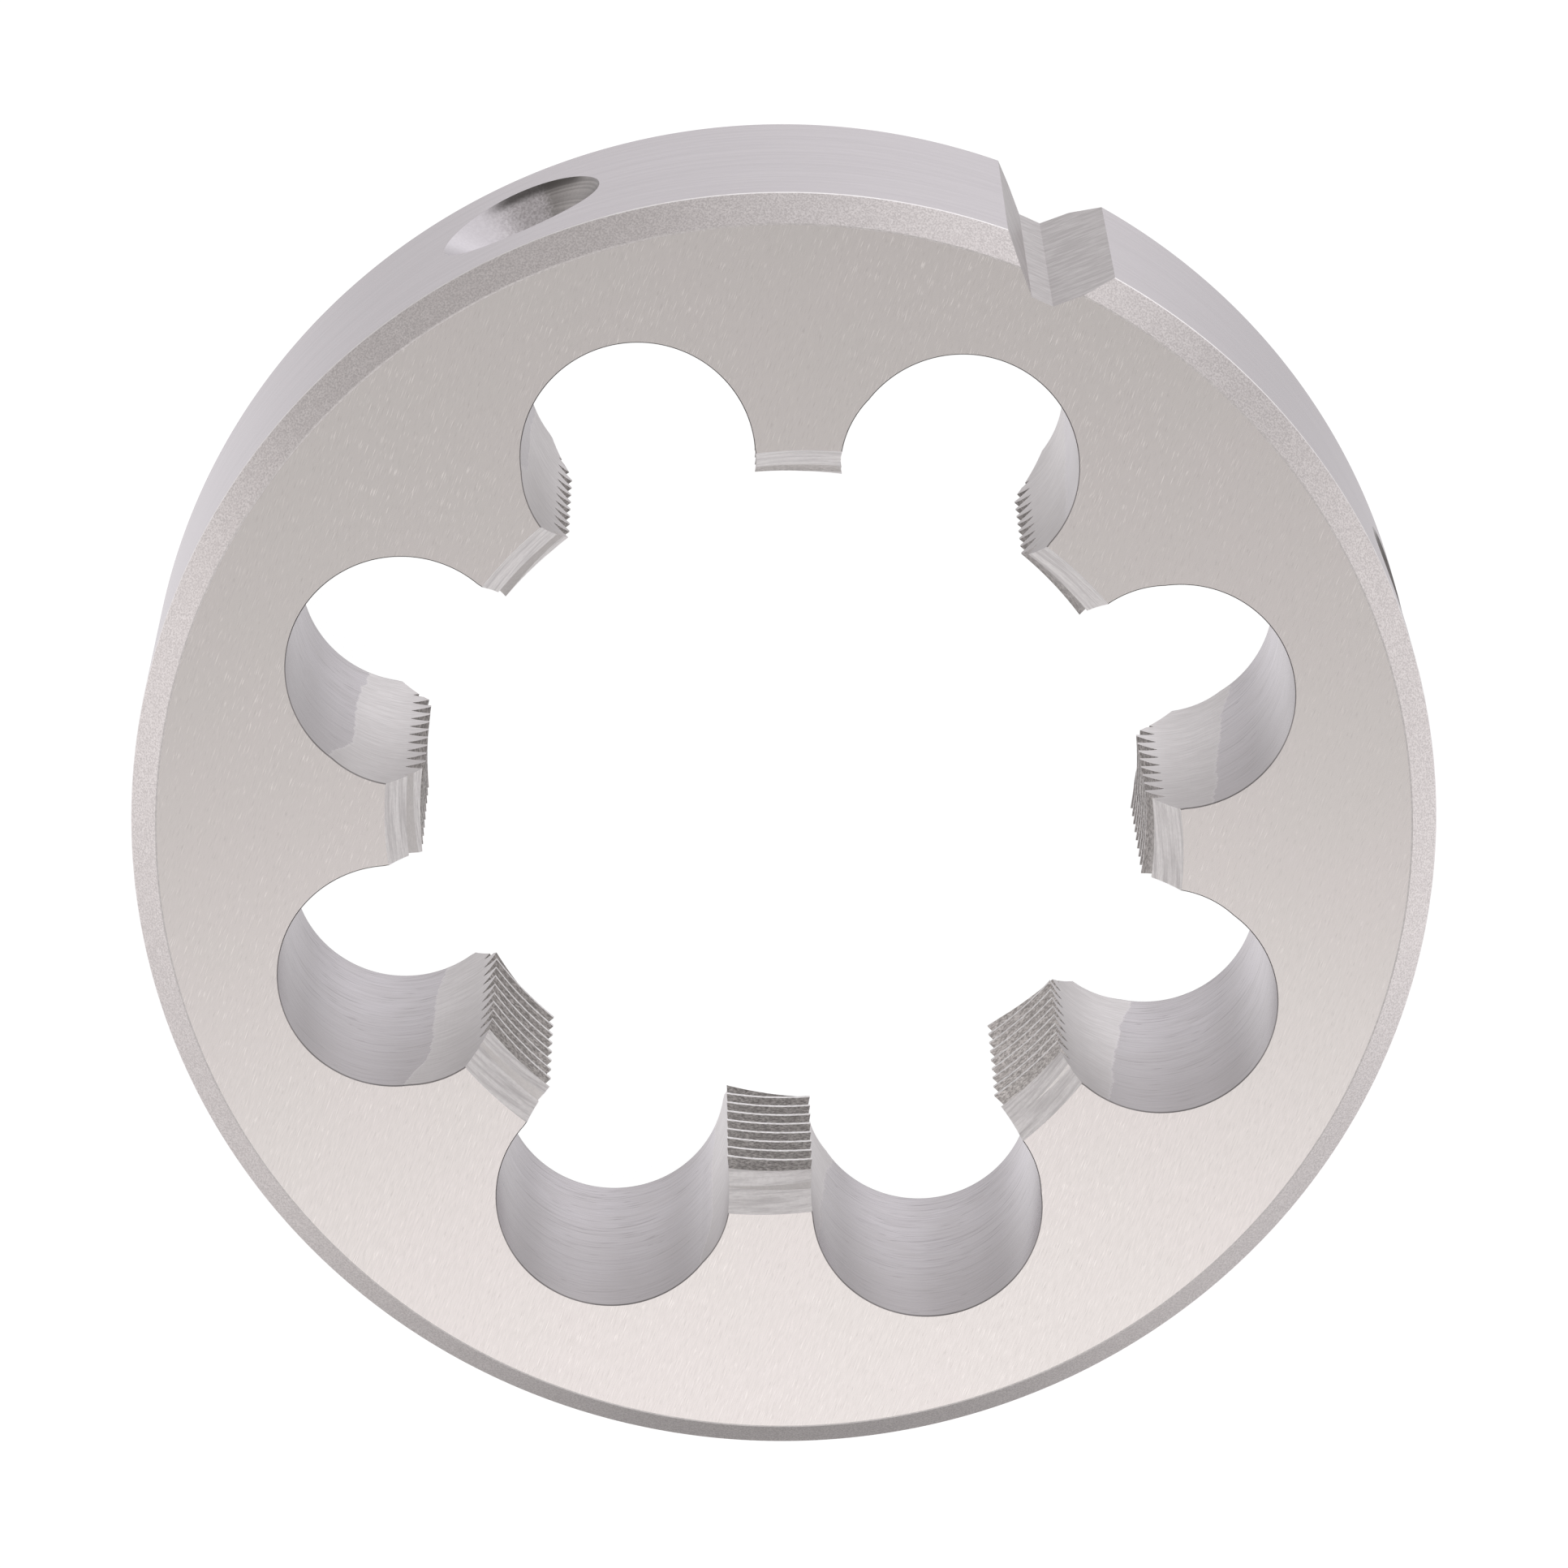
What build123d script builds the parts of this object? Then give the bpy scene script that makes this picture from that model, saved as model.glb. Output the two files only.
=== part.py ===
from build123d import *
import math
import os

# Round threading die, one piece of hardened and ground tool steel.
#
# Frame: millimetres, +Z along the thread axis.  The back face lies on Z = 0 and
# the lead side, which meets the work, faces up.  The adjusting notch in the rim
# points along +Y.  Angles are degrees, counted from +X.

# ---- blank ---------------------------------------------------------------------
die_diameter = 65.0
die_thickness = 18.0
rim_chamfer = 1.3

# ---- thread --------------------------------------------------------------------
thread_diameter = 38.1
thread_pitch = 1.411  # eighteen threads to the inch
tip_radius = 18.12  # tips of the die's teeth
root_clearance = 0.02  # the tooth roots stand this far outside the screw's crest
groove_half_angle = 30.0
groove_root_flat = 0.06
groove_inner_reach = 0.1  # the groove cutter starts this far inside the tips
thread_turn = 13.0  # turns the thread about its axis

# ---- chip holes, and the ground flanks that leave a land between two holes -------
hole_count = 8
hole_diameter = 11.5
hole_circle_radius = 20.8
land_width = 4.3  # across the teeth at their tips
flank_diameter = 10.1  # grinding pin
flank_open_angle = 36.3  # pin's place where it bites deepest
flank_closed_angle = 30.2  # and at the other end of the land

# ---- leads ground on both ends of every land ---------------------------------------
# Depth runs from the face to the first full tooth, and mouth is the radius at the
# face, both at the cutting edge.  The lead falls away behind that edge.
front_lead_depth = 2.45
front_lead_mouth_radius = 19.72
front_lead_relief_angle = 3.5
back_lead_depth = 3.3
back_lead_mouth_radius = 19.7
back_lead_relief_angle = 7.0

# ---- adjusting notch ---------------------------------------------------------------
notch_depth = 2.45
notch_floor_width = 1.15
notch_half_angle = 45.0

# ---- dimples for the die stock's screws ---------------------------------------------
dimple_diameter = 9.1
dimple_half_angle = 50.0
dimple_angle = 48.5  # to each side of the notch, and of the point opposite it

overrun = 1.0  # a cutter runs this far past the surface that it opens

die_radius = die_diameter / 2
root_radius = thread_diameter / 2 + root_clearance
hole_step = 360 / hole_count
notch_direction = 90.0


def polar_point(radius, angle, height=0.0):
    """Point at a radius and an angle about the thread axis."""
    turn = math.radians(angle)
    return Vector(radius * math.cos(turn), radius * math.sin(turn), height)


def make_blank():
    """Chamfered disc, bored to the tips of the teeth."""
    half_section = Polyline(
        (tip_radius, 0),
        (die_radius - rim_chamfer, 0),
        (die_radius, rim_chamfer),
        (die_radius, die_thickness - rim_chamfer),
        (die_radius - rim_chamfer, die_thickness),
        (tip_radius, die_thickness),
        close=True,
    )
    return revolve(Plane.XZ * make_face(half_section), Axis.Z)


def make_groove():
    """One turn's V groove where it crosses a land on +X, right-handed."""
    arc = hole_step / 2
    rise = thread_pitch * arc / 360
    path = Helix(thread_pitch, rise, root_radius)
    inner_radius = tip_radius - groove_inner_reach
    root_half = groove_root_flat / 2
    flare = (root_radius - inner_radius) * math.tan(math.radians(groove_half_angle))
    profile = Polyline(
        (root_radius, -root_half),
        (root_radius, root_half),
        (inner_radius, root_half + flare),
        (inner_radius, -root_half - flare),
        close=True,
    )
    groove = sweep(Plane.XZ * make_face(profile), path, is_frenet=True)
    return Pos(0, 0, -rise / 2) * Rot(0, 0, -arc / 2) * groove


def make_thread():
    """Every crossing of the thread groove over every land."""
    groove = make_groove()
    grooves = []
    for place in range(hole_count):
        land_angle = notch_direction + place * hole_step + hole_step / 2
        rise = thread_pitch * (land_angle - thread_turn) / 360
        height = rise % thread_pitch - thread_pitch
        while height < die_thickness + thread_pitch:
            grooves.append(Pos(0, 0, height) * Rot(0, 0, land_angle) * groove)
            height += thread_pitch
    return grooves


def pin_centre(side, angle):
    """Grinding pin's centre for a hole on +X, with its circle on the land's edge."""
    land_half_angle = math.degrees(math.asin(land_width / 2 / tip_radius))
    edge = polar_point(tip_radius, side * (hole_step / 2 - land_half_angle))
    inward = math.radians(angle)
    pin_radius = flank_diameter / 2
    return edge + Vector(pin_radius * math.sin(inward), -side * pin_radius * math.cos(inward))


def make_flank_pin(side):
    """Leaning pin that grinds one side of a hole on +X.  It opens the flank most
    at the lead side on the +Y half of the hole, and at the back on the -Y half."""
    if side > 0:
        low = pin_centre(side, flank_closed_angle)
        high = pin_centre(side, flank_open_angle) + Vector(0, 0, die_thickness)
    else:
        low = pin_centre(side, flank_open_angle)
        high = pin_centre(side, flank_closed_angle) + Vector(0, 0, die_thickness)
    lean = (high - low).normalized()
    seat = Plane(low - lean * overrun, z_dir=lean)
    length = (high - low).length + 2 * overrun
    return seat * Cylinder(flank_diameter / 2, length, align=(Align.CENTER, Align.CENTER, Align.MIN))


def make_chip_hole():
    """Drilled hole on +X with its two ground flanks."""
    drill = Pos(hole_circle_radius, 0, die_thickness / 2) * Cylinder(
        hole_diameter / 2, die_thickness + 2 * overrun
    )
    return drill + make_flank_pin(1) + make_flank_pin(-1)


def make_lead_cutter(depth, mouth_radius, relief_angle):
    """Cone for the upper lead of a land on +X.  Its axis stands off to the side, so
    the lead falls away behind its cutting edge, which is the land's +Y edge."""
    cutting_edge_angle = math.degrees(math.asin(land_width / 2 / tip_radius))
    cutting_edge = polar_point(tip_radius, cutting_edge_angle)
    cone_offset = tip_radius * math.tan(math.radians(relief_angle))
    cone_start_radius = math.hypot(cutting_edge.X, cutting_edge.Y + cone_offset)
    slope = (mouth_radius - tip_radius) / depth
    cutter_height = depth + 2 * overrun
    cone = Cone(
        cone_start_radius - slope * overrun,
        cone_start_radius + slope * (depth + overrun),
        cutter_height,
        align=(Align.CENTER, Align.CENTER, Align.MIN),
    )
    reach = 2 * (mouth_radius - tip_radius + overrun)
    one_land = Pos(tip_radius, 0, 0) * Box(
        2 * reach, 2 * land_width, cutter_height, align=(Align.CENTER, Align.CENTER, Align.MIN)
    )
    lead_start = die_thickness - depth - overrun
    return Pos(0, 0, lead_start) * ((Pos(0, -cone_offset, 0) * cone) & one_land)


def make_notch():
    """Flat-bottomed V slot through the rim, on +Y."""
    floor_height = die_radius - notch_depth
    floor_half = notch_floor_width / 2
    flare = (notch_depth + overrun) * math.tan(math.radians(notch_half_angle))
    outline = Polyline(
        (-floor_half, floor_height),
        (floor_half, floor_height),
        (floor_half + flare, die_radius + overrun),
        (-floor_half - flare, die_radius + overrun),
        close=True,
    )
    return Pos(0, 0, -overrun) * extrude(make_face(outline), die_thickness + 2 * overrun)


def make_dimple(angle):
    """Conical seat for a screw's point, at mid thickness of the rim."""
    slope = math.tan(math.radians(dimple_half_angle))
    depth = dimple_diameter / 2 / slope
    outward = polar_point(1, angle)
    seat = Plane(outward * (die_radius - depth) + Vector(0, 0, die_thickness / 2), z_dir=outward)
    height = depth + overrun
    return seat * Cone(0, height * slope, height, align=(Align.CENTER, Align.CENTER, Align.MIN))


def make_die():
    """The whole die."""
    die = make_blank()
    chip_hole = make_chip_hole()
    front_lead = make_lead_cutter(
        front_lead_depth, front_lead_mouth_radius, front_lead_relief_angle
    )
    back_lead = make_lead_cutter(
        back_lead_depth, back_lead_mouth_radius, back_lead_relief_angle
    )
    turn_over = Pos(0, 0, die_thickness) * Rot(180, 0, 0)
    for place in range(hole_count):
        hole_angle = notch_direction + place * hole_step
        land_angle = hole_angle + hole_step / 2
        die -= Rot(0, 0, hole_angle) * chip_hole
        die -= Rot(0, 0, land_angle) * front_lead
        die -= Rot(0, 0, land_angle) * turn_over * back_lead
    die -= make_thread()
    die -= make_notch()
    for middle in (notch_direction, notch_direction + 180):
        for side in (-1, 1):
            die -= make_dimple(middle + side * dimple_angle)
    return die


os.makedirs("parts", exist_ok=True)
round_die = make_die()
export_step(round_die, "parts/round_die.step")
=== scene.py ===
import math

import bpy
from mathutils import Matrix, Vector


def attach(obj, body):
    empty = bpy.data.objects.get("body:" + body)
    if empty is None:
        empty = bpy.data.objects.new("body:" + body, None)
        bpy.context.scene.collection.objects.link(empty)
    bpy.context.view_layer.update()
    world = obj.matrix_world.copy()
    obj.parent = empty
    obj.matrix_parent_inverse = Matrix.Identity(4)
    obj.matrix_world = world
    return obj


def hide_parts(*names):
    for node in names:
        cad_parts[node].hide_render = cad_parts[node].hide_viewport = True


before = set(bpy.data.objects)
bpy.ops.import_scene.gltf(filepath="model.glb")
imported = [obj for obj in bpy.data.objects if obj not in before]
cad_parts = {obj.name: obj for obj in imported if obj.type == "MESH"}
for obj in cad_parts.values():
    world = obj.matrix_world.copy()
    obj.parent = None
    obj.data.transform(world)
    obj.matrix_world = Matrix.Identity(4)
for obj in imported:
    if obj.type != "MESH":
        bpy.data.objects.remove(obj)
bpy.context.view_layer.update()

MM = 0.001

# ---- the die's own sizes, in millimetres and degrees -----------------------------------

DIE_SIZES = {
    "Rim Radius": 32.5,
    "Thickness": 18.0,
    "Rim Chamfer": 1.3,
    "Edge Break": 0.05,
    "Tip Radius": 18.12,
    "Root Radius": 19.07,
    "Pitch": 1.411,
    "Root Flat": 0.06,
    "Thread Turn": 13.0,
    "Chip Holes": 8,
    "Hole Radius": 5.75,
    "Hole Circle": 20.8,
    "Land Width": 4.3,
    "Pin Radius": 5.05,
    "Open Angle": 36.3,
    "Closed Angle": 30.2,
    "Front Lead Depth": 2.45,
    "Front Mouth Radius": 19.72,
    "Front Relief": 3.5,
    "Back Lead Depth": 3.3,
    "Back Mouth Radius": 19.7,
    "Back Relief": 7.0,
    "Notch Depth": 2.45,
    "Notch Floor": 1.15,
    "Dimple Radius": 4.55,
    "Dimple Half Angle": 50.0,
    "Dimple Turn": 48.5,
}
NOTCH_TURN = 90  # the notch and the first chip hole lie on +Y
GROOVE_HALF_ANGLE = 30

OVERRUN = 1.0  # how far a cutter runs out of the metal
GROOVE_OVERRUN = 0.1  # how far the groove's cutter stands inside the teeth's tips
DIMPLE_POINT = 0.001  # radius of the dimple cutter's point

# how many sides a round form has
BLANK_SIDES = 480
BORE_SIDES = 360
LEAD_SIDES = 256
HOLE_SIDES = 128
DIMPLE_SIDES = 96
THREAD_STEPS = 240

# how squarely a surface faces along the thread axis, from 0 on the rim to 1 on the faces:
# the most for each surface in turn, from the rim inward
RIM_FACING = 0.05
OUTER_CORNER_FACING = 0.6
CHAMFER_FACING = 0.8
INNER_CORNER_FACING = 0.999
SHARP_ANGLE = 9  # surfaces that meet at more than this stay sharp

# ---- node helpers ----------------------------------------------------------------------


class Number:
    """A number inside a node tree, worked out with + - * and /."""

    def __init__(self, nodes, socket):
        self.nodes = nodes
        self.socket = socket

    def __add__(self, other):
        return self.nodes.math("ADD", self, other)

    def __radd__(self, other):
        return self.nodes.math("ADD", other, self)

    def __sub__(self, other):
        return self.nodes.math("SUBTRACT", self, other)

    def __rsub__(self, other):
        return self.nodes.math("SUBTRACT", other, self)

    def __mul__(self, other):
        return self.nodes.math("MULTIPLY", self, other)

    def __rmul__(self, other):
        return self.nodes.math("MULTIPLY", other, self)

    def __truediv__(self, other):
        return self.nodes.math("DIVIDE", self, other)

    def __rtruediv__(self, other):
        return self.nodes.math("DIVIDE", other, self)

    def __neg__(self):
        return self.nodes.math("MULTIPLY", self, -1.0)


class Nodes:
    """Short words for building one node tree."""

    def __init__(self, tree):
        self.tree = tree
        tree.nodes.clear()

    def add(self, kind, inputs=(), **props):
        node = self.tree.nodes.new(kind)
        for name, value in props.items():
            setattr(node, name, value)
        for key, value in dict(inputs).items():
            self.put(node.inputs[key], value)
        return node

    def put(self, socket, value):
        """Link a socket to a result, or set it; a colour is given as red, green and blue."""
        if isinstance(value, Number):
            value = value.socket
        if isinstance(value, bpy.types.NodeSocket):
            self.tree.links.new(value, socket)
        elif value is not None:
            socket.default_value = (*value, 1.0) if socket.type == "RGBA" else value

    def math(self, operation, first, second=None):
        node = self.add("ShaderNodeMath", operation=operation)
        self.put(node.inputs[0], first)
        self.put(node.inputs[1], second)
        return Number(self, node.outputs[0])

    def combine(self, x=0.0, y=0.0, z=0.0):
        return self.add("ShaderNodeCombineXYZ", {0: x, 1: y, 2: z}).outputs[0]

    def parts(self, vector):
        node = self.add("ShaderNodeSeparateXYZ", {0: vector})
        return [Number(self, socket) for socket in node.outputs]

    def scaled(self, vector, scale):
        inputs = {0: vector, "Scale": scale}
        return self.add("ShaderNodeVectorMath", inputs, operation="SCALE").outputs["Vector"]

    def stretched(self, vector, by):
        inputs = {0: vector, 1: by}
        return self.add("ShaderNodeVectorMath", inputs, operation="MULTIPLY").outputs["Vector"]

    def total(self, first, second):
        inputs = {0: first, 1: second}
        return self.add("ShaderNodeVectorMath", inputs, operation="ADD").outputs["Vector"]

    def share_along(self, vector, way):
        """Dot product of a vector with a fixed direction."""
        inputs = {0: vector, 1: tuple(way)}
        node = self.add("ShaderNodeVectorMath", inputs, operation="DOT_PRODUCT")
        return Number(self, node.outputs["Value"])

    def ramp(self, value, low, high, to_low=0.0, to_high=1.0):
        """Smooth step from one number to another as the value goes from low to high."""
        inputs = {
            "Value": value,
            "From Min": low,
            "From Max": high,
            "To Min": to_low,
            "To Max": to_high,
        }
        node = self.add("ShaderNodeMapRange", inputs, interpolation_type="SMOOTHSTEP")
        return Number(self, node.outputs["Result"])

    def noise(self, place, scale=1.0, detail=2.0, roughness=0.5, distortion=0.0):
        inputs = {
            "Vector": place,
            "Scale": scale,
            "Detail": detail,
            "Roughness": roughness,
            "Distortion": distortion,
        }
        return Number(self, self.add("ShaderNodeTexNoise", inputs).outputs["Fac"])

    def mix(self, amount, first, second):
        """Colour that goes from the first to the second as the amount goes from 0 to 1."""
        node = self.add("ShaderNodeMix", data_type="RGBA")
        for socket, value in zip((node.inputs[0], *node.inputs[6:8]), (amount, first, second)):
            self.put(socket, value)
        return node.outputs[2]


# ---- studio ---------------------------------------------------------------------------

VIEW_TURN = 26.514  # from +X to the view's right, in degrees about the thread axis
CAMERA_TILT = 16.626
CAMERA_ROLL = 1.815
CAMERA_BACK = Vector((-0.0204, 2.6498, 444.938)) * MM
CAMERA_NEAR = 0.01
CAMERA_FAR = 10
LENS = 205.72
SENSOR_WIDTH = 36

WARM = (1.025, 0.99, 0.97)
NEUTRAL = (1.025, 0.985, 0.985)
COOL = (1.0, 0.985, 1.02)
ROOM_LIGHT = (0.34, 0.328, 0.327)
SOFT_BOXES = (
    # direction (right, up, out), inner and outer edge in degrees, strength, tint
    ((-0.02, -0.72, 0.70), 10, 36, 0.62, WARM),
    ((-0.30, 0.04, 0.95), 10, 36, 0.30, WARM),
    ((0.35, -0.34, 0.87), 6, 22, 0.30, WARM),
    ((0.81, -0.10, 0.55), 22, 60, 0.10, WARM),
    ((0.62, 0.28, 0.73), 8, 28, 0.20, WARM),
    ((-0.62, 0.28, 0.73), 8, 28, 0.46, WARM),
    ((0.42, 0.62, 0.66), 5, 14, 1.30, WARM),
    ((-0.42, 0.62, 0.66), 5, 14, 1.30, WARM),
    ((-0.97, -0.25, -0.04), 15, 52, 0.42, NEUTRAL),
    ((0.96, -0.10, 0.02), 14, 42, 0.29, NEUTRAL),
    ((-0.50, -0.85, -0.13), 6, 22, 0.20, NEUTRAL),
    ((-0.69, 0.71, -0.15), 22, 75, 0.16, NEUTRAL),
    ((0.20, 0.96, 0.16), 10, 34, 0.08, NEUTRAL),
    ((0.55, 0.80, 0.22), 8, 26, 0.18, NEUTRAL),
    ((0.37, 0.85, -0.37), 15, 52, 0.54, COOL),
    ((0.66, -0.68, -0.30), 10, 36, 0.18, NEUTRAL),
    ((0.67, 0.04, -0.75), 22, 75, 0.30, COOL),
    ((0.10, 0.42, -0.90), 10, 32, 0.16, COOL),
    ((0.10, -0.67, -0.74), 6, 22, 0.42, COOL),
    ((-0.31, -0.50, -0.81), 10, 36, 0.37, COOL),
    ((0.56, -0.50, -0.66), 10, 36, 0.22, COOL),
    ((-0.75, -0.01, -0.66), 15, 52, 0.24, COOL),
)
KEY_PLACE = (0.0, -0.66, 0.75)
KEY_AWAY = 270 * MM
KEY_ACROSS = 230 * MM
KEY_POWER = 0.062
KEY_TINT = (1.0, 0.965, 0.965)

FLOOR_HALF = 1.5
FLOOR_DROP = 0.05 * MM
FLOOR_GREY = (0.12, 0.12, 0.12)
FLOOR_GLOW = 0.97
WHITE = (1, 1, 1)


def along(right, up, out):
    """Unit direction given by the view's right, the view's up and the thread axis."""
    turned = Matrix.Rotation(math.radians(VIEW_TURN), 3, "Z") @ Vector((right, up, out))
    return turned.normalized()


def over_face():
    """The middle of the front face, which the camera and the key box are set out from."""
    return Vector((0, 0, DIE_SIZES["Thickness"] * MM))


def place_camera():
    """Camera high over the front face, leaning toward the notch side."""
    data = bpy.data.cameras.new("camera")
    data.lens = LENS
    data.sensor_width = SENSOR_WIDTH
    data.clip_start = CAMERA_NEAR
    data.clip_end = CAMERA_FAR
    camera = bpy.data.objects.new("camera", data)
    bpy.context.scene.collection.objects.link(camera)
    look = Matrix.Rotation(math.radians(CAMERA_ROLL), 4, "Z") @ Matrix.Rotation(
        math.radians(CAMERA_TILT), 4, "X"
    )
    camera.matrix_world = (
        Matrix.Translation(over_face())
        @ Matrix.Rotation(math.radians(VIEW_TURN), 4, "Z")
        @ look.transposed()
        @ Matrix.Translation(CAMERA_BACK)
    )
    bpy.context.scene.camera = camera


def world_glow():
    """Soft studio light: a dim room with soft boxes, each a smooth glow round one direction."""
    world = bpy.data.worlds.new("studio")
    world.use_nodes = True
    bpy.context.scene.world = world
    n = Nodes(world.node_tree)
    way = n.add("ShaderNodeTexCoord").outputs["Generated"]
    light = n.combine(*ROOM_LIGHT)
    for direction, inner, outer, strength, tint in SOFT_BOXES:
        facing = n.share_along(way, along(*direction))
        share = n.ramp(facing, math.cos(math.radians(outer)), math.cos(math.radians(inner)))
        light = n.total(light, n.scaled(tuple(part * strength for part in tint), share))
    shade = n.add("ShaderNodeBackground", {"Color": light}).outputs[0]
    n.add("ShaderNodeOutputWorld", {"Surface": shade})


def hang_key_box():
    """Round soft box close over the face's side away from the notch, so that its light falls
    off across the face."""
    data = bpy.data.lights.new("key_box", "AREA")
    data.shape = "DISK"
    data.size = KEY_ACROSS
    data.energy = KEY_POWER
    data.color = KEY_TINT
    box = bpy.data.objects.new("key_box", data)
    bpy.context.scene.collection.objects.link(box)
    way = along(*KEY_PLACE)
    box.location = way * KEY_AWAY + over_face()
    box.rotation_euler = way.to_track_quat("Z", "Y").to_euler()
    box.visible_camera = False


def lay_floor():
    """Plain pale sheet that also glows a little, just under the die."""
    mesh = bpy.data.meshes.new("floor")
    half = FLOOR_HALF
    corners = [(-half, -half, 0), (half, -half, 0), (half, half, 0), (-half, half, 0)]
    mesh.from_pydata(corners, [], [(0, 1, 2, 3)])
    floor = bpy.data.objects.new("floor", mesh)
    bpy.context.scene.collection.objects.link(floor)
    floor.location.z = -FLOOR_DROP
    material = bpy.data.materials.new("pale_floor")
    material.use_nodes = True
    n = Nodes(material.node_tree)
    sheet = n.add("ShaderNodeBsdfDiffuse", {"Color": FLOOR_GREY}).outputs[0]
    glow = n.add("ShaderNodeEmission", {"Color": WHITE, "Strength": FLOOR_GLOW}).outputs[0]
    both = n.add("ShaderNodeAddShader", {0: sheet, 1: glow}).outputs[0]
    n.add("ShaderNodeOutputMaterial", {"Surface": both})
    mesh.materials.append(material)
    floor.visible_glossy = False


# ---- finishes -------------------------------------------------------------------------

MATERIALS = {}
GRIND_TURN = 94.5  # how the faces' grinding lies, in degrees about the thread axis


class Metal(Nodes):
    """One metal finish: its nodes, its shader and the place on the die in millimetres."""

    def __init__(self, name, roughness=0.3, metallic=1.0):
        material = bpy.data.materials.new(name)
        material.use_nodes = True
        MATERIALS[name] = material
        super().__init__(material.node_tree)
        self.shader = self.add("ShaderNodeBsdfPrincipled")
        self.put(self.shader.inputs["Metallic"], metallic)
        self.put(self.shader.inputs["Roughness"], roughness)
        self.add("ShaderNodeOutputMaterial", {"Surface": self.shader.outputs[0]})
        spot = self.add("ShaderNodeTexCoord").outputs["Object"]
        self.place = self.scaled(spot, 1 / MM)

    def polar(self):
        """Distance from the thread axis, turn about it in radians, and height."""
        x, y, z = self.parts(self.place)
        return self.math("SQRT", x * x + y * y), self.math("ARCTAN2", y, x), z

    def colour(self, value):
        self.put(self.shader.inputs["Base Color"], value)

    def roughness(self, value):
        self.put(self.shader.inputs["Roughness"], value)

    def bump(self, height, depth):
        """Surface raised by the height, which is worth so many millimetres at 1."""
        inputs = {"Height": height, "Strength": 1.0, "Distance": depth * MM}
        node = self.add("ShaderNodeBump", inputs)
        self.put(self.shader.inputs["Normal"], node.outputs[0])

    def laid(self, turn, along_it, across):
        """Place scaled so that noise becomes marks that lie at a turn about the axis."""
        turned = self.add(
            "ShaderNodeMapping",
            {"Vector": self.place, "Rotation": (0, 0, math.radians(-turn))},
        )
        return self.stretched(turned.outputs[0], (along_it, across, 1.0))


def ground_face():
    """Flat faces: fine straight grinding with short bright flecks that lie along it.  The flecks
    thin out away from the notch as painted light that falls off across the face."""
    m = Metal("ground_face")
    grain = m.noise(m.laid(GRIND_TURN, 1.1, 11.0), detail=3.0, roughness=0.65)
    fine = m.noise(m.laid(GRIND_TURN - 0.5, 3.0, 24.0), roughness=0.6)
    patch = m.noise(m.place, scale=0.09)
    cloud = m.noise(m.place, scale=0.14)
    height = m.share_along(m.place, along(0, 1, 0))
    flecks = m.ramp(m.noise(m.laid(GRIND_TURN, 1.5, 20.0), detail=0.0), 0.66, 0.78)
    # painted light: the flecks fade toward the side away from the notch, as the light falls off
    # across the face
    flecks = flecks * m.ramp(patch, 0.34, 0.60, 0.35, 1.0) * m.ramp(height, -20, 16, 0.5, 1.0)
    nicks = m.noise(m.laid(GRIND_TURN + 1.0, 1.2, 16.0), scale=1.5, detail=0.0)
    colour = m.mix(m.ramp(cloud, 0.35, 0.65), (0.690, 0.660, 0.652), (0.684, 0.660, 0.648))
    colour = m.mix(m.ramp(grain, 0.32, 0.68) * 0.14, colour, (0.60, 0.575, 0.56))
    colour = m.mix(m.ramp(fine, 0.3, 0.7) * 0.10, colour, (0.60, 0.58, 0.57))
    colour = m.mix(flecks * 0.62, colour, (0.93, 0.90, 0.88))
    m.colour(m.mix(m.ramp(nicks, 0.66, 0.78) * 0.30, colour, (0.46, 0.44, 0.43)))
    m.roughness(m.ramp(grain, 0.3, 0.7, 0.21, 0.27))
    m.bump(grain, 0.0005)


def grainy_chamfer():
    """Rim chamfers: a fine even grain."""
    m = Metal("grainy_chamfer")
    grain = m.noise(m.place, scale=11.0, roughness=0.65)
    broad = m.noise(m.place, scale=1.6)
    colour = m.mix(m.ramp(grain, 0.35, 0.65), (0.63, 0.603, 0.598), (0.87, 0.838, 0.83))
    m.colour(m.mix(m.ramp(broad, 0.3, 0.7) * 0.2, colour, (0.68, 0.65, 0.645)))
    m.bump(grain, 0.003)


def bright_edge():
    """Broken corners between the rim and its chamfers."""
    m = Metal("bright_edge", roughness=0.4)
    grain = m.noise(m.place, scale=3.0)
    m.colour(m.mix(m.ramp(grain, 0.3, 0.7), (0.88, 0.86, 0.855), (0.97, 0.96, 0.955)))


def broken_corner():
    """Narrow corners between the faces and the chamfers, taken off by hand."""
    m = Metal("broken_corner", roughness=0.45, metallic=0.3)
    grain = m.noise(m.place, scale=6.0)
    m.colour(m.mix(m.ramp(grain, 0.3, 0.7), (0.60, 0.58, 0.575), (0.72, 0.70, 0.695)))


def satin_rim():
    """Outer wall: smooth and satin, with faint bands round it."""
    m = Metal("satin_rim", roughness=0.27)
    radius, turn, z = m.polar()
    bands = m.combine(radius * 0.2, turn * 3.5, z * 3.2)
    bands = m.noise(bands, detail=3.0, roughness=0.6)
    grain = m.noise(m.combine(radius, turn * 50, z * 7.0), roughness=0.6)
    colour = m.mix(m.ramp(bands, 0.3, 0.7), (0.700, 0.668, 0.692), (0.750, 0.718, 0.742))
    m.colour(m.mix(m.ramp(grain, 0.3, 0.7) * 0.2, colour, (0.65, 0.62, 0.64)))
    m.bump(bands + grain * 0.3, 0.0015)


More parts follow.
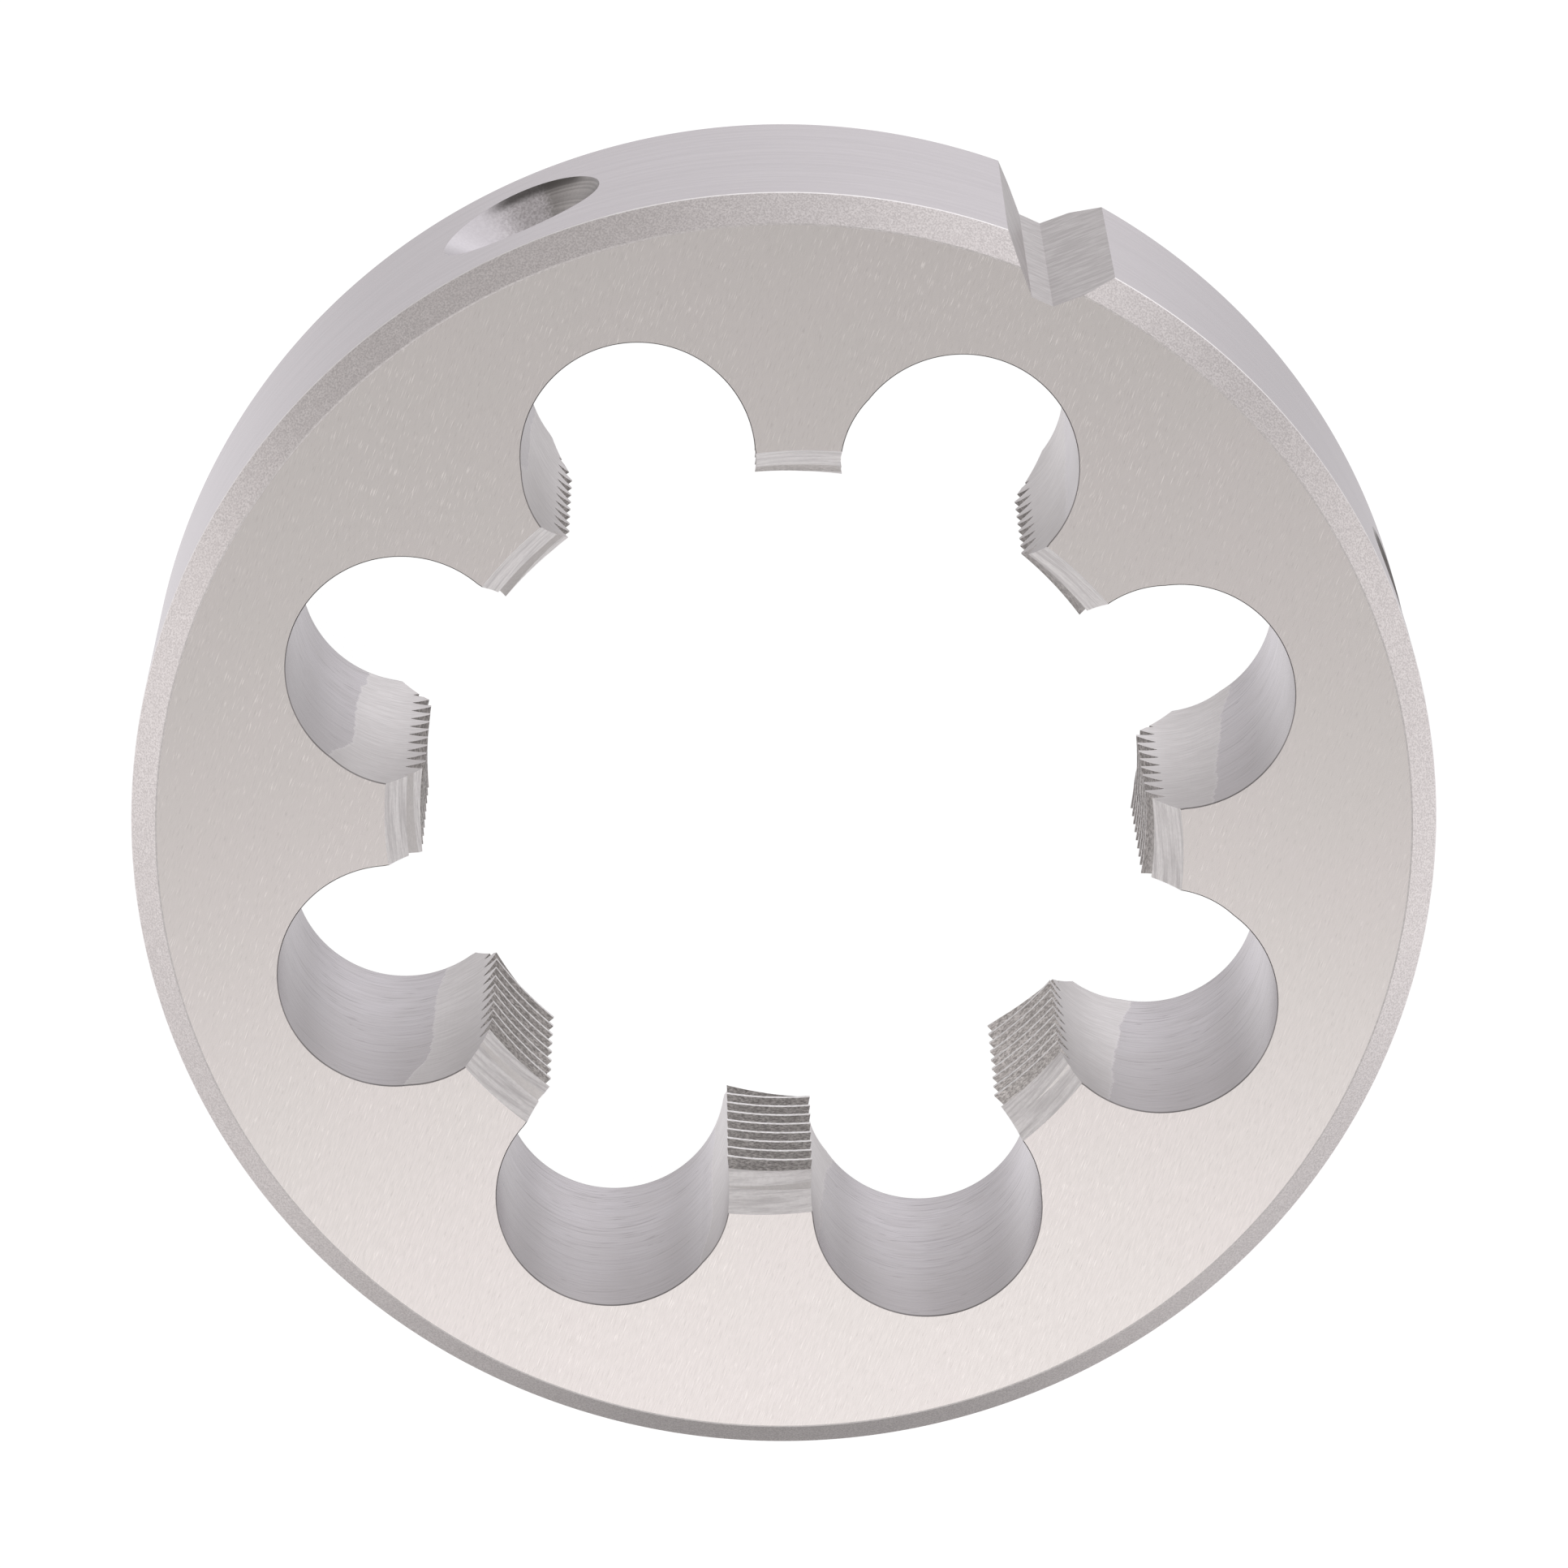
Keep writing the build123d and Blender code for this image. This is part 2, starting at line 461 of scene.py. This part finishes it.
def drilled_wall(m, x, y, z, swing, depth, lines):
    """Colour of a drilled wall: fine lines round it, a few single scores, and painted shade
    that darkens it toward the front face.
    """
    cloud = m.noise(m.place, scale=0.45)
    scores = m.combine(x * 0.16, y * 0.16, z * 3.6 + swing * 0.05)
    scores = m.noise(scores, detail=1.0)
    scores = m.ramp(scores, 0.46, 0.49) * m.ramp(scores, 0.52, 0.49)
    colour = m.mix(m.ramp(lines, 0.3, 0.7), (0.60, 0.575, 0.597), (0.69, 0.665, 0.69))
    colour = m.mix(m.ramp(cloud, 0.4, 0.65) * 0.35, colour, (0.585, 0.558, 0.565))
    colour = m.mix(scores * 0.6, colour, (0.36, 0.34, 0.35))
    # painted shade: the wall darkens toward the front face
    return m.mix(m.ramp(depth, 16, 0) * 0.58, colour, (0.36, 0.338, 0.335))


def past_edge(m, turn, z, swing, depth):
    """How many degrees round the hole a spot lies past the ground zone's ragged edge.  The
    edge wanders with depth, and in its own way beside each of a land's two flanks."""
    leading = 75 + m.ramp(depth, 0, 5, 0, 12) + m.ramp(depth, 12, 18, 0, 4)
    trailing = 92 - m.ramp(depth, 0, 4, 0, 4) - m.ramp(depth, 4, 14, 0, 8)
    trailing = trailing - m.ramp(depth, 13, 18, 0, 8)
    edge = trailing + m.math("GREATER_THAN", swing, 0.0) * (leading - trailing)
    rag = m.noise(m.combine(turn * 6, 0, z * 1.1), detail=4.0, roughness=0.62)
    return m.math("ABSOLUTE", swing) - edge + (rag - 0.5) * 6.0


def hole_wall():
    """Chip holes: a drilled wall.  Beside each land a ragged-edged zone is lighter, where the
    wall was ground to the land's edge.  Both mouths have a thin dark line.  Toward the front
    face both zones are darkened with painted shade."""
    m = Metal("hole_wall")
    step = 2 * math.pi / DIE_SIZES["Chip Holes"]
    first = math.radians(NOTCH_TURN)
    radius, turn, z = m.polar()
    local = turn - m.math("ROUND", (turn - first) / step) * step - first
    x = radius * m.math("COSINE", local) - DIE_SIZES["Hole Circle"]
    y = radius * m.math("SINE", local)
    swing = m.math("DEGREES", m.math("ARCTAN2", y, x))
    depth = DIE_SIZES["Thickness"] - z

    past = past_edge(m, turn, z, swing, depth)
    ground = m.ramp(past, -0.5, 0.8)
    edge_line = m.ramp(past, -0.7, 0.0) * m.ramp(past, 1.6, 0.5)
    mouths = m.ramp(depth, 0.13, 0.05) + m.ramp(depth, 17.88, 17.95)
    lines = m.noise(m.combine(x * 0.35, y * 0.35, z * 7.5), detail=3.0, roughness=0.6)
    marks = m.noise(m.combine(x * 0.8, y * 0.8, z * 11.0), detail=3.0, roughness=0.7)

    drilled = drilled_wall(m, x, y, z, swing, depth, lines)
    flank = m.mix(m.ramp(marks, 0.3, 0.7), (0.67, 0.648, 0.642), (0.84, 0.818, 0.815))
    # painted shade: the ground zone also darkens toward the front face
    flank = m.mix(m.ramp(depth, 14, 0) * 0.42, flank, (0.42, 0.40, 0.39))
    colour = m.mix(ground, drilled, flank)
    colour = m.mix(edge_line * 0.14, colour, (0.93, 0.91, 0.91))
    m.colour(m.mix(mouths * 0.75, colour, (0.22, 0.21, 0.21)))
    m.roughness(0.25 + ground * 0.09)
    m.bump(lines + ground * (marks * 1.6 - lines) + ground * 0.3, 0.003)


def cut_thread():
    """Tooth flanks and roots: dark, with a fine grain drawn along the thread.  The groove's
    last shallow cuts in the front lead are painted light, as light as the lead."""
    m = Metal("cut_thread", roughness=0.34, metallic=0.8)
    radius, turn, z = m.polar()
    grain = m.combine(radius * 14.0, turn * 90, z * 14.0)
    grain = m.noise(grain, detail=3.0, roughness=0.75)
    broad = m.noise(m.combine(radius * 2.0, turn * 24, z * 4.0))
    painted_light_in_lead = m.ramp(DIE_SIZES["Thickness"] - z, 3.1, 2.2)
    colour = m.mix(m.ramp(grain, 0.36, 0.66), (0.26, 0.247, 0.241), (0.64, 0.615, 0.605))
    colour = m.mix(m.ramp(broad, 0.35, 0.68) * 0.3, colour, (0.30, 0.285, 0.278))
    # painted light: the groove's shallow cuts in the front lead are made as light as the lead
    m.colour(m.mix(painted_light_in_lead * 0.8, colour, (0.84, 0.82, 0.815)))
    m.bump(grain, 0.006)


def tooth_tip():
    """Narrow flats on the teeth's tips, bright from grinding."""
    m = Metal("tooth_tip", roughness=0.42)
    radius, turn, z = m.polar()
    grain = m.noise(m.combine(radius, turn * 60, z * 8.0), detail=3.0, roughness=0.7)
    m.colour(m.mix(m.ramp(grain, 0.3, 0.62), (0.62, 0.60, 0.59), (0.98, 0.975, 0.97)))
    m.bump(grain, 0.002)


def ground_lead():
    """Leads: light, ground with fine scratches round the bore."""
    m = Metal("ground_lead", roughness=0.42, metallic=0.1)
    radius, turn, z = m.polar()
    slant = radius * 0.6 - z
    scratch = m.combine(slant * 6.5, turn * 4.5, 0.0)
    scratch = m.noise(scratch, detail=5.0, roughness=0.75)
    grain = m.noise(m.combine(slant * 12.0, turn * 90, 3.0), roughness=0.6)
    colour = m.mix(m.ramp(scratch, 0.33, 0.62), (0.66, 0.642, 0.645), (0.97, 0.955, 0.955))
    m.colour(m.mix(m.ramp(grain, 0.35, 0.7) * 0.25, colour, (0.62, 0.60, 0.60)))
    m.bump(scratch, 0.004)


def milled_notch():
    """Notch walls: milling marks across the slot."""
    m = Metal("milled_notch", roughness=0.33)
    x, y, z = m.parts(m.place)
    marks = m.combine(x * 0.5, y * 0.5, z * 2.4 + y * 0.5)
    marks = m.noise(marks, detail=4.0, roughness=0.65, distortion=0.15)
    fine = m.noise(m.combine(x * 2.0, y * 2.0, z * 12.0), roughness=0.6)
    colour = m.mix(m.ramp(marks, 0.36, 0.64), (0.53, 0.505, 0.50), (0.69, 0.665, 0.66))
    m.colour(m.mix(m.ramp(fine, 0.35, 0.7) * 0.35, colour, (0.40, 0.38, 0.375)))
    m.bump(marks + fine * 0.3, 0.007)


def drilled_dimple():
    """Dimples: a drilled cone, smooth on the side away from the notch.  On the side toward it
    the fine rings are darkened with painted shade, and a crescent of painted shadow lies at
    the edge near the back."""
    m = Metal("drilled_dimple")
    _, turn, z = m.polar()
    swing = m.math("DEGREES", turn) - NOTCH_TURN
    swing = m.math("ABSOLUTE", swing - m.math("ROUND", swing / 180) * 180)
    across = m.math("RADIANS", swing - DIE_SIZES["Dimple Turn"]) * DIE_SIZES["Rim Radius"]
    above = z - DIE_SIZES["Thickness"] / 2
    reach = m.math("SQRT", across * across + above * above)
    grain = m.noise(m.place, scale=7.0, detail=3.0, roughness=0.7)
    rings = m.noise(m.combine(reach * 7.0, 0, 0), detail=3.0, roughness=0.7)
    away = m.ramp(across, 0.2, 2.6)
    # painted shade: the side toward the notch is dark, with fine rings
    toward = m.ramp(across + (grain - 0.5), -0.7, -1.5)
    # painted shadow: a dark crescent along the cone's edge near the back
    painted_shadow_crescent = m.ramp(reach, 3.9, 4.35) * m.ramp(above, -2.2, -3.4) * m.ramp(across, 2.4, 0.6)
    rings_in_painted_shade = m.mix(m.ramp(rings, 0.3, 0.7), (0.22, 0.21, 0.20), (0.44, 0.42, 0.405))
    colour = m.mix(m.ramp(grain, 0.32, 0.68), (0.50, 0.475, 0.485), (0.74, 0.715, 0.73))
    colour = m.mix(away * 0.8, colour, (0.62, 0.60, 0.625))
    colour = m.mix(toward * 0.85, colour, rings_in_painted_shade)
    m.colour(m.mix(painted_shadow_crescent * 0.85, colour, (0.08, 0.075, 0.07)))
    m.bump(grain * (1 - away * 0.8), 0.004)


# ---- cutters and blank -----------------------------------------------------------------


class Work(Nodes):
    """Geometry tree with a named input for each of its sizes."""

    def __init__(self, name, sizes):
        tree = bpy.data.node_groups.new(name, "GeometryNodeTree")
        super().__init__(tree)
        self.sizes = sizes
        tree.interface.new_socket("Geometry", in_out="OUTPUT", socket_type="NodeSocketGeometry")
        for label, value in sizes.items():
            kind = "NodeSocketInt" if isinstance(value, int) else "NodeSocketFloat"
            tree.interface.new_socket(label, in_out="INPUT", socket_type=kind)
        self.entry = self.add("NodeGroupInput")

    def size(self, label):
        return Number(self, self.entry.outputs[label])

    def sine(self, degrees):
        return self.math("SINE", self.math("RADIANS", degrees))

    def cosine(self, degrees):
        return self.math("COSINE", self.math("RADIANS", degrees))

    def tangent(self, degrees):
        return self.math("TANGENT", self.math("RADIANS", degrees))

    def position(self):
        return self.parts(self.add("GeometryNodeInputPosition").outputs[0])

    def pick(self, index, values):
        """The value that stands at the index."""
        node = self.add("GeometryNodeIndexSwitch", data_type="FLOAT")
        for _ in values[2:]:
            node.index_switch_items.new()
        self.put(node.inputs["Index"], index)
        for place, value in enumerate(values):
            self.put(node.inputs[place + 1], value)
        return Number(self, node.outputs[0])

    def box(self, size):
        return self.add("GeometryNodeMeshCube", {"Size": size}).outputs[0]

    def reshape(self, geometry, position):
        inputs = {"Geometry": geometry, "Position": position}
        return self.add("GeometryNodeSetPosition", inputs).outputs[0]

    def move(self, geometry, place=(0, 0, 0), turn=(0, 0, 0), scale=(1, 1, 1)):
        inputs = {"Geometry": geometry, "Translation": place, "Rotation": turn, "Scale": scale}
        return self.add("GeometryNodeTransform", inputs).outputs[0]

    def finish(self, geometry, material, chosen=None):
        inputs = {"Geometry": geometry, "Selection": chosen, "Material": material}
        return self.add("GeometryNodeSetMaterial", inputs).outputs[0]

    def fuse(self, operation, shapes):
        node = self.add("GeometryNodeMeshBoolean", operation=operation, solver="MANIFOLD")
        for shape in shapes:
            self.put(node.inputs["Mesh 2"], shape)
        return node.outputs[0]

    def cut(self, geometry, cutter):
        node = self.add("GeometryNodeMeshBoolean", operation="DIFFERENCE", solver="MANIFOLD")
        self.put(node.inputs["Mesh 1"], geometry)
        self.put(node.inputs["Mesh 2"], cutter)
        return node.outputs[0]

    def round_about(self, geometry, count, first, step):
        """Copies of a shape, turned about the thread axis."""
        points = self.add("GeometryNodeMeshLine", {"Count": count, "Offset": (0, 0, 0)}).outputs[0]
        index = Number(self, self.add("GeometryNodeInputIndex").outputs[0])
        turn = self.combine(0, 0, self.math("RADIANS", first + index * step))
        inputs = {"Points": points, "Instance": geometry, "Rotation": turn}
        return self.add("GeometryNodeInstanceOnPoints", inputs).outputs[0]

    def ring_stack(self, sides, rings):
        """Closed turned form through rings, each given as its height, radius and centre."""
        spans = len(rings) - 1
        form = self.add(
            "GeometryNodeMeshCylinder",
            {"Vertices": sides, "Side Segments": spans, "Radius": 1.0, "Depth": float(spans)},
        ).outputs[0]
        x, y, z = self.position()
        ring = self.math("ROUND", z + spans / 2)
        height, radius, centre_x, centre_y = (
            self.pick(ring, [each[part] for each in rings]) for part in range(4)
        )
        place = self.combine(x * radius + centre_x, y * radius + centre_y, height)
        return self.reshape(form, place)


def blank(w):
    """Disc with a chamfered rim whose sharp corners are just broken."""
    radius, high, chamfer = w.size("Rim Radius"), w.size("Thickness"), w.size("Rim Chamfer")
    edge = w.size("Edge Break")
    slant = edge * math.sqrt(0.5)
    inner = radius - chamfer
    half = [
        (0.0, inner - edge),
        (slant, inner + slant),
        (chamfer - slant, radius - slant),
        (chamfer + edge, radius),
    ]
    rings = [(low, reach, 0.0, 0.0) for low, reach in half]
    rings += [(high - low, reach, 0.0, 0.0) for low, reach in reversed(half)]
    return w.ring_stack(BLANK_SIDES, rings)


def hole_cutter(w, radius, low, high):
    """Round cutter from a centre on the back face to one on the front face, that breaks both
    edges."""
    thick, edge = w.size("Thickness"), w.size("Edge Break")
    mouth = radius + edge + OVERRUN
    rings = []
    for height, reach in (
        (-OVERRUN, mouth),
        (edge, radius),
        (thick - edge, radius),
        (thick + OVERRUN, mouth),
    ):
        share = height / thick
        rings.append((height, reach) + tuple(a + (b - a) * share for a, b in zip(low, high)))
    return w.ring_stack(HOLE_SIDES, rings)


def chip_hole(w, finish):
    """Drilled hole on +X, joined to the two pins that lean as they grind its flanks."""
    pin, tip = w.size("Pin Radius"), w.size("Tip Radius")
    land_half = w.math("DEGREES", w.math("ARCSINE", w.size("Land Width") * 0.5 / tip))
    land_edge = 180 / w.size("Chip Holes") - land_half
    centre = (w.size("Hole Circle"), 0.0)
    shapes = [hole_cutter(w, w.size("Hole Radius"), centre, centre)]
    for side in (1.0, -1.0):
        open_at, closed_at = (
            (
                tip * w.cosine(land_edge) + pin * w.sine(angle),
                (tip * w.sine(land_edge) - pin * w.cosine(angle)) * side,
            )
            for angle in (w.size("Open Angle"), w.size("Closed Angle"))
        )
        low, high = (closed_at, open_at) if side > 0 else (open_at, closed_at)
        shapes.append(hole_cutter(w, pin, low, high))
    return w.finish(w.fuse("UNION", shapes), finish)


def thread_groove(w, finish):
    """V groove along the whole right-hand thread."""
    pitch, root, thick = w.size("Pitch"), w.size("Root Radius"), w.size("Thickness")
    turns = w.math("CEIL", thick / pitch) + 3
    spiral = {
        "Resolution": THREAD_STEPS,
        "Rotations": turns,
        "Start Radius": root,
        "End Radius": root,
        "Height": turns * pitch,
        "Reverse": True,
    }
    path = w.add("GeometryNodeCurveSpiral", spiral).outputs[0]
    path = w.add("GeometryNodeSetCurveNormal", {"Curve": path}, mode="Z_UP").outputs[0]
    reach = root - w.size("Tip Radius") + GROOVE_OVERRUN
    half = w.size("Root Flat") * 0.5
    flare = half + reach * math.tan(math.radians(GROOVE_HALF_ANGLE))
    corners = ((0.0, -half), (0.0, half), (-reach, flare), (-reach, -flare))
    points = {"Point %d" % (i + 1): w.combine(*corner) for i, corner in enumerate(corners)}
    profile = w.add("GeometryNodeCurvePrimitiveQuadrilateral", points, mode="POINTS").outputs[0]
    sweep = {"Curve": path, "Profile Curve": profile, "Fill Caps": True}
    groove = w.add("GeometryNodeCurveToMesh", sweep).outputs[0]
    turn = w.combine(0, 0, w.math("RADIANS", w.size("Thread Turn")))
    return w.finish(w.move(groove, place=w.combine(0, 0, -pitch), turn=turn), finish)


def lead_cutter(w, end, finish):
    """Cone for the lead on one land on +X, at the front.  It stands off the axis, so the
    lead falls away behind the land's +Y edge.  A box keeps it to its own land."""
    tip, width = w.size("Tip Radius"), w.size("Land Width")
    depth, mouth = w.size(end + " Lead Depth"), w.size(end + " Mouth Radius")
    offset = tip * w.tangent(w.size(end + " Relief"))
    edge_y = width * 0.5
    edge_x = w.math("SQRT", tip * tip - edge_y * edge_y)
    start = w.math("SQRT", edge_x * edge_x + (edge_y + offset) * (edge_y + offset))
    slope = (mouth - tip) / depth
    low = w.size("Thickness") - depth - OVERRUN
    height = depth + 2 * OVERRUN
    rings = [
        (low, start - slope * OVERRUN, 0.0, -offset),
        (low + height, start + slope * (depth + OVERRUN), 0.0, -offset),
    ]
    cone = w.ring_stack(LEAD_SIDES, rings)
    across = (mouth - tip + OVERRUN) * 4
    guard = w.box(w.combine(across, width * 2, height * 2))
    guard = w.move(guard, place=w.combine(tip, 0, low + height * 0.5))
    return w.finish(w.fuse("INTERSECT", (cone, guard)), finish)


def rim_notch(w, finish):
    """Flat-bottomed V slot on +Y."""
    thick, depth = w.size("Thickness"), w.size("Notch Depth")
    x, y, z = w.position()
    raised = (y + 1) * 0.5 * (depth + OVERRUN)
    place = w.combine(
        x * (w.size("Notch Floor") * 0.5 + raised),
        w.size("Rim Radius") - depth + raised,
        thick * 0.5 + z * (thick * 0.5 + OVERRUN),
    )
    return w.finish(w.reshape(w.box((2, 2, 2)), place), finish)


def screw_dimple(w, finish):
    """Conical seat on +X at mid thickness."""
    slope = w.tangent(w.size("Dimple Half Angle"))
    radius = w.size("Dimple Radius")
    depth = radius / slope
    mouth = (depth + OVERRUN, radius + slope * OVERRUN, 0.0, 0.0)
    cone = w.ring_stack(DIMPLE_SIDES, [(0.0, DIMPLE_POINT, 0.0, 0.0), mouth])
    place = w.combine(w.size("Rim Radius") - depth, 0, w.size("Thickness") * 0.5)
    return w.finish(w.move(cone, place=place, turn=(0, math.radians(90), 0)), finish)


# ---- the die --------------------------------------------------------------------------


def round_die_tree():
    """The blank, then each cutter in turn; what is left of each keeps its cutter's finish."""
    w = Work("round_die", DIE_SIZES)
    count = w.size("Chip Holes")
    step = 360 / count
    tip, thick = w.size("Tip Radius"), w.size("Thickness")
    facing = w.math("ABSOLUTE", w.parts(w.add("GeometryNodeInputNormal").outputs[0])[2])

    def facing_between(low, high):
        return w.math("GREATER_THAN", facing, low) * w.math("LESS_THAN", facing, high)

    die = w.finish(blank(w), MATERIALS["satin_rim"])
    for name, low, high in (
        ("bright_edge", RIM_FACING, OUTER_CORNER_FACING),
        ("grainy_chamfer", OUTER_CORNER_FACING, CHAMFER_FACING),
        ("broken_corner", CHAMFER_FACING, INNER_CORNER_FACING),
    ):
        die = w.finish(die, MATERIALS[name], facing_between(low, high))

    bore = w.ring_stack(BORE_SIDES, [(-OVERRUN, tip, 0.0, 0.0), (thick + OVERRUN, tip, 0.0, 0.0)])
    hole = chip_hole(w, MATERIALS["hole_wall"])
    front_lead = lead_cutter(w, "Front", MATERIALS["ground_lead"])
    back_lead = lead_cutter(w, "Back", MATERIALS["ground_lead"])
    back_lead = w.move(back_lead, place=w.combine(0, 0, thick), turn=(math.pi, 0, 0))
    dimple = screw_dimple(w, MATERIALS["drilled_dimple"])
    dimple_turn = w.size("Dimple Turn")
    first_land = NOTCH_TURN + step * 0.5
    for cutter in (
        w.finish(bore, MATERIALS["tooth_tip"]),
        w.round_about(hole, count, NOTCH_TURN, step),
        w.round_about(front_lead, count, first_land, step),
        w.round_about(back_lead, count, first_land, step),
        thread_groove(w, MATERIALS["cut_thread"]),
        rim_notch(w, MATERIALS["milled_notch"]),
        w.round_about(dimple, 2, NOTCH_TURN - dimple_turn, 180),
        w.round_about(dimple, 2, NOTCH_TURN + dimple_turn, 180),
    ):
        die = w.cut(die, cutter)
    die = w.move(die, scale=(MM, MM, MM))
    die = w.add("GeometryNodeRealizeInstances", {"Geometry": die}).outputs[0]
    flat = w.math("GREATER_THAN", facing, INNER_CORNER_FACING)
    die = w.finish(die, MATERIALS["ground_face"], flat)
    w.add("NodeGroupOutput", {0: die})
    return w


def grow(name, work):
    """The tree's own result as a plain mesh object."""
    piece = bpy.data.objects.new(name, bpy.data.meshes.new(name))
    bpy.context.scene.collection.objects.link(piece)
    modifier = piece.modifiers.new(name, "NODES")
    modifier.node_group = work.tree
    for item in work.tree.interface.items_tree:
        if item.in_out == "INPUT":
            modifier[item.identifier] = work.sizes[item.name]
    graph = bpy.context.evaluated_depsgraph_get()
    mesh = bpy.data.meshes.new_from_object(piece.evaluated_get(graph), depsgraph=graph)
    piece.modifiers.clear()
    piece.data = mesh
    return piece


def order_slots(mesh):
    """One slot for each finish, in their own order; each face keeps its finish."""
    wanted = [mesh.materials[face.material_index].name for face in mesh.polygons]
    mesh.materials.clear()
    for material in MATERIALS.values():
        mesh.materials.append(material)
    order = list(MATERIALS)
    for face, name in zip(mesh.polygons, wanted):
        face.material_index = order.index(name)


def dress_die():
    """The die on show, which stands in for the plain one."""
    die = grow("dressed_die", round_die_tree())
    order_slots(die.data)
    die.data.polygons.foreach_set("use_smooth", [True] * len(die.data.polygons))
    die.data.set_sharp_from_angle(angle=math.radians(SHARP_ANGLE))
    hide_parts("round_die")
    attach(die, "root")


for make in (
    ground_face, grainy_chamfer, bright_edge, broken_corner, satin_rim, hole_wall,
    cut_thread, tooth_tip, ground_lead, milled_notch, drilled_dimple,
):
    make()
place_camera()
world_glow()
hang_key_box()
lay_floor()
dress_die()
bpy.context.scene.view_settings.view_transform = "Standard"
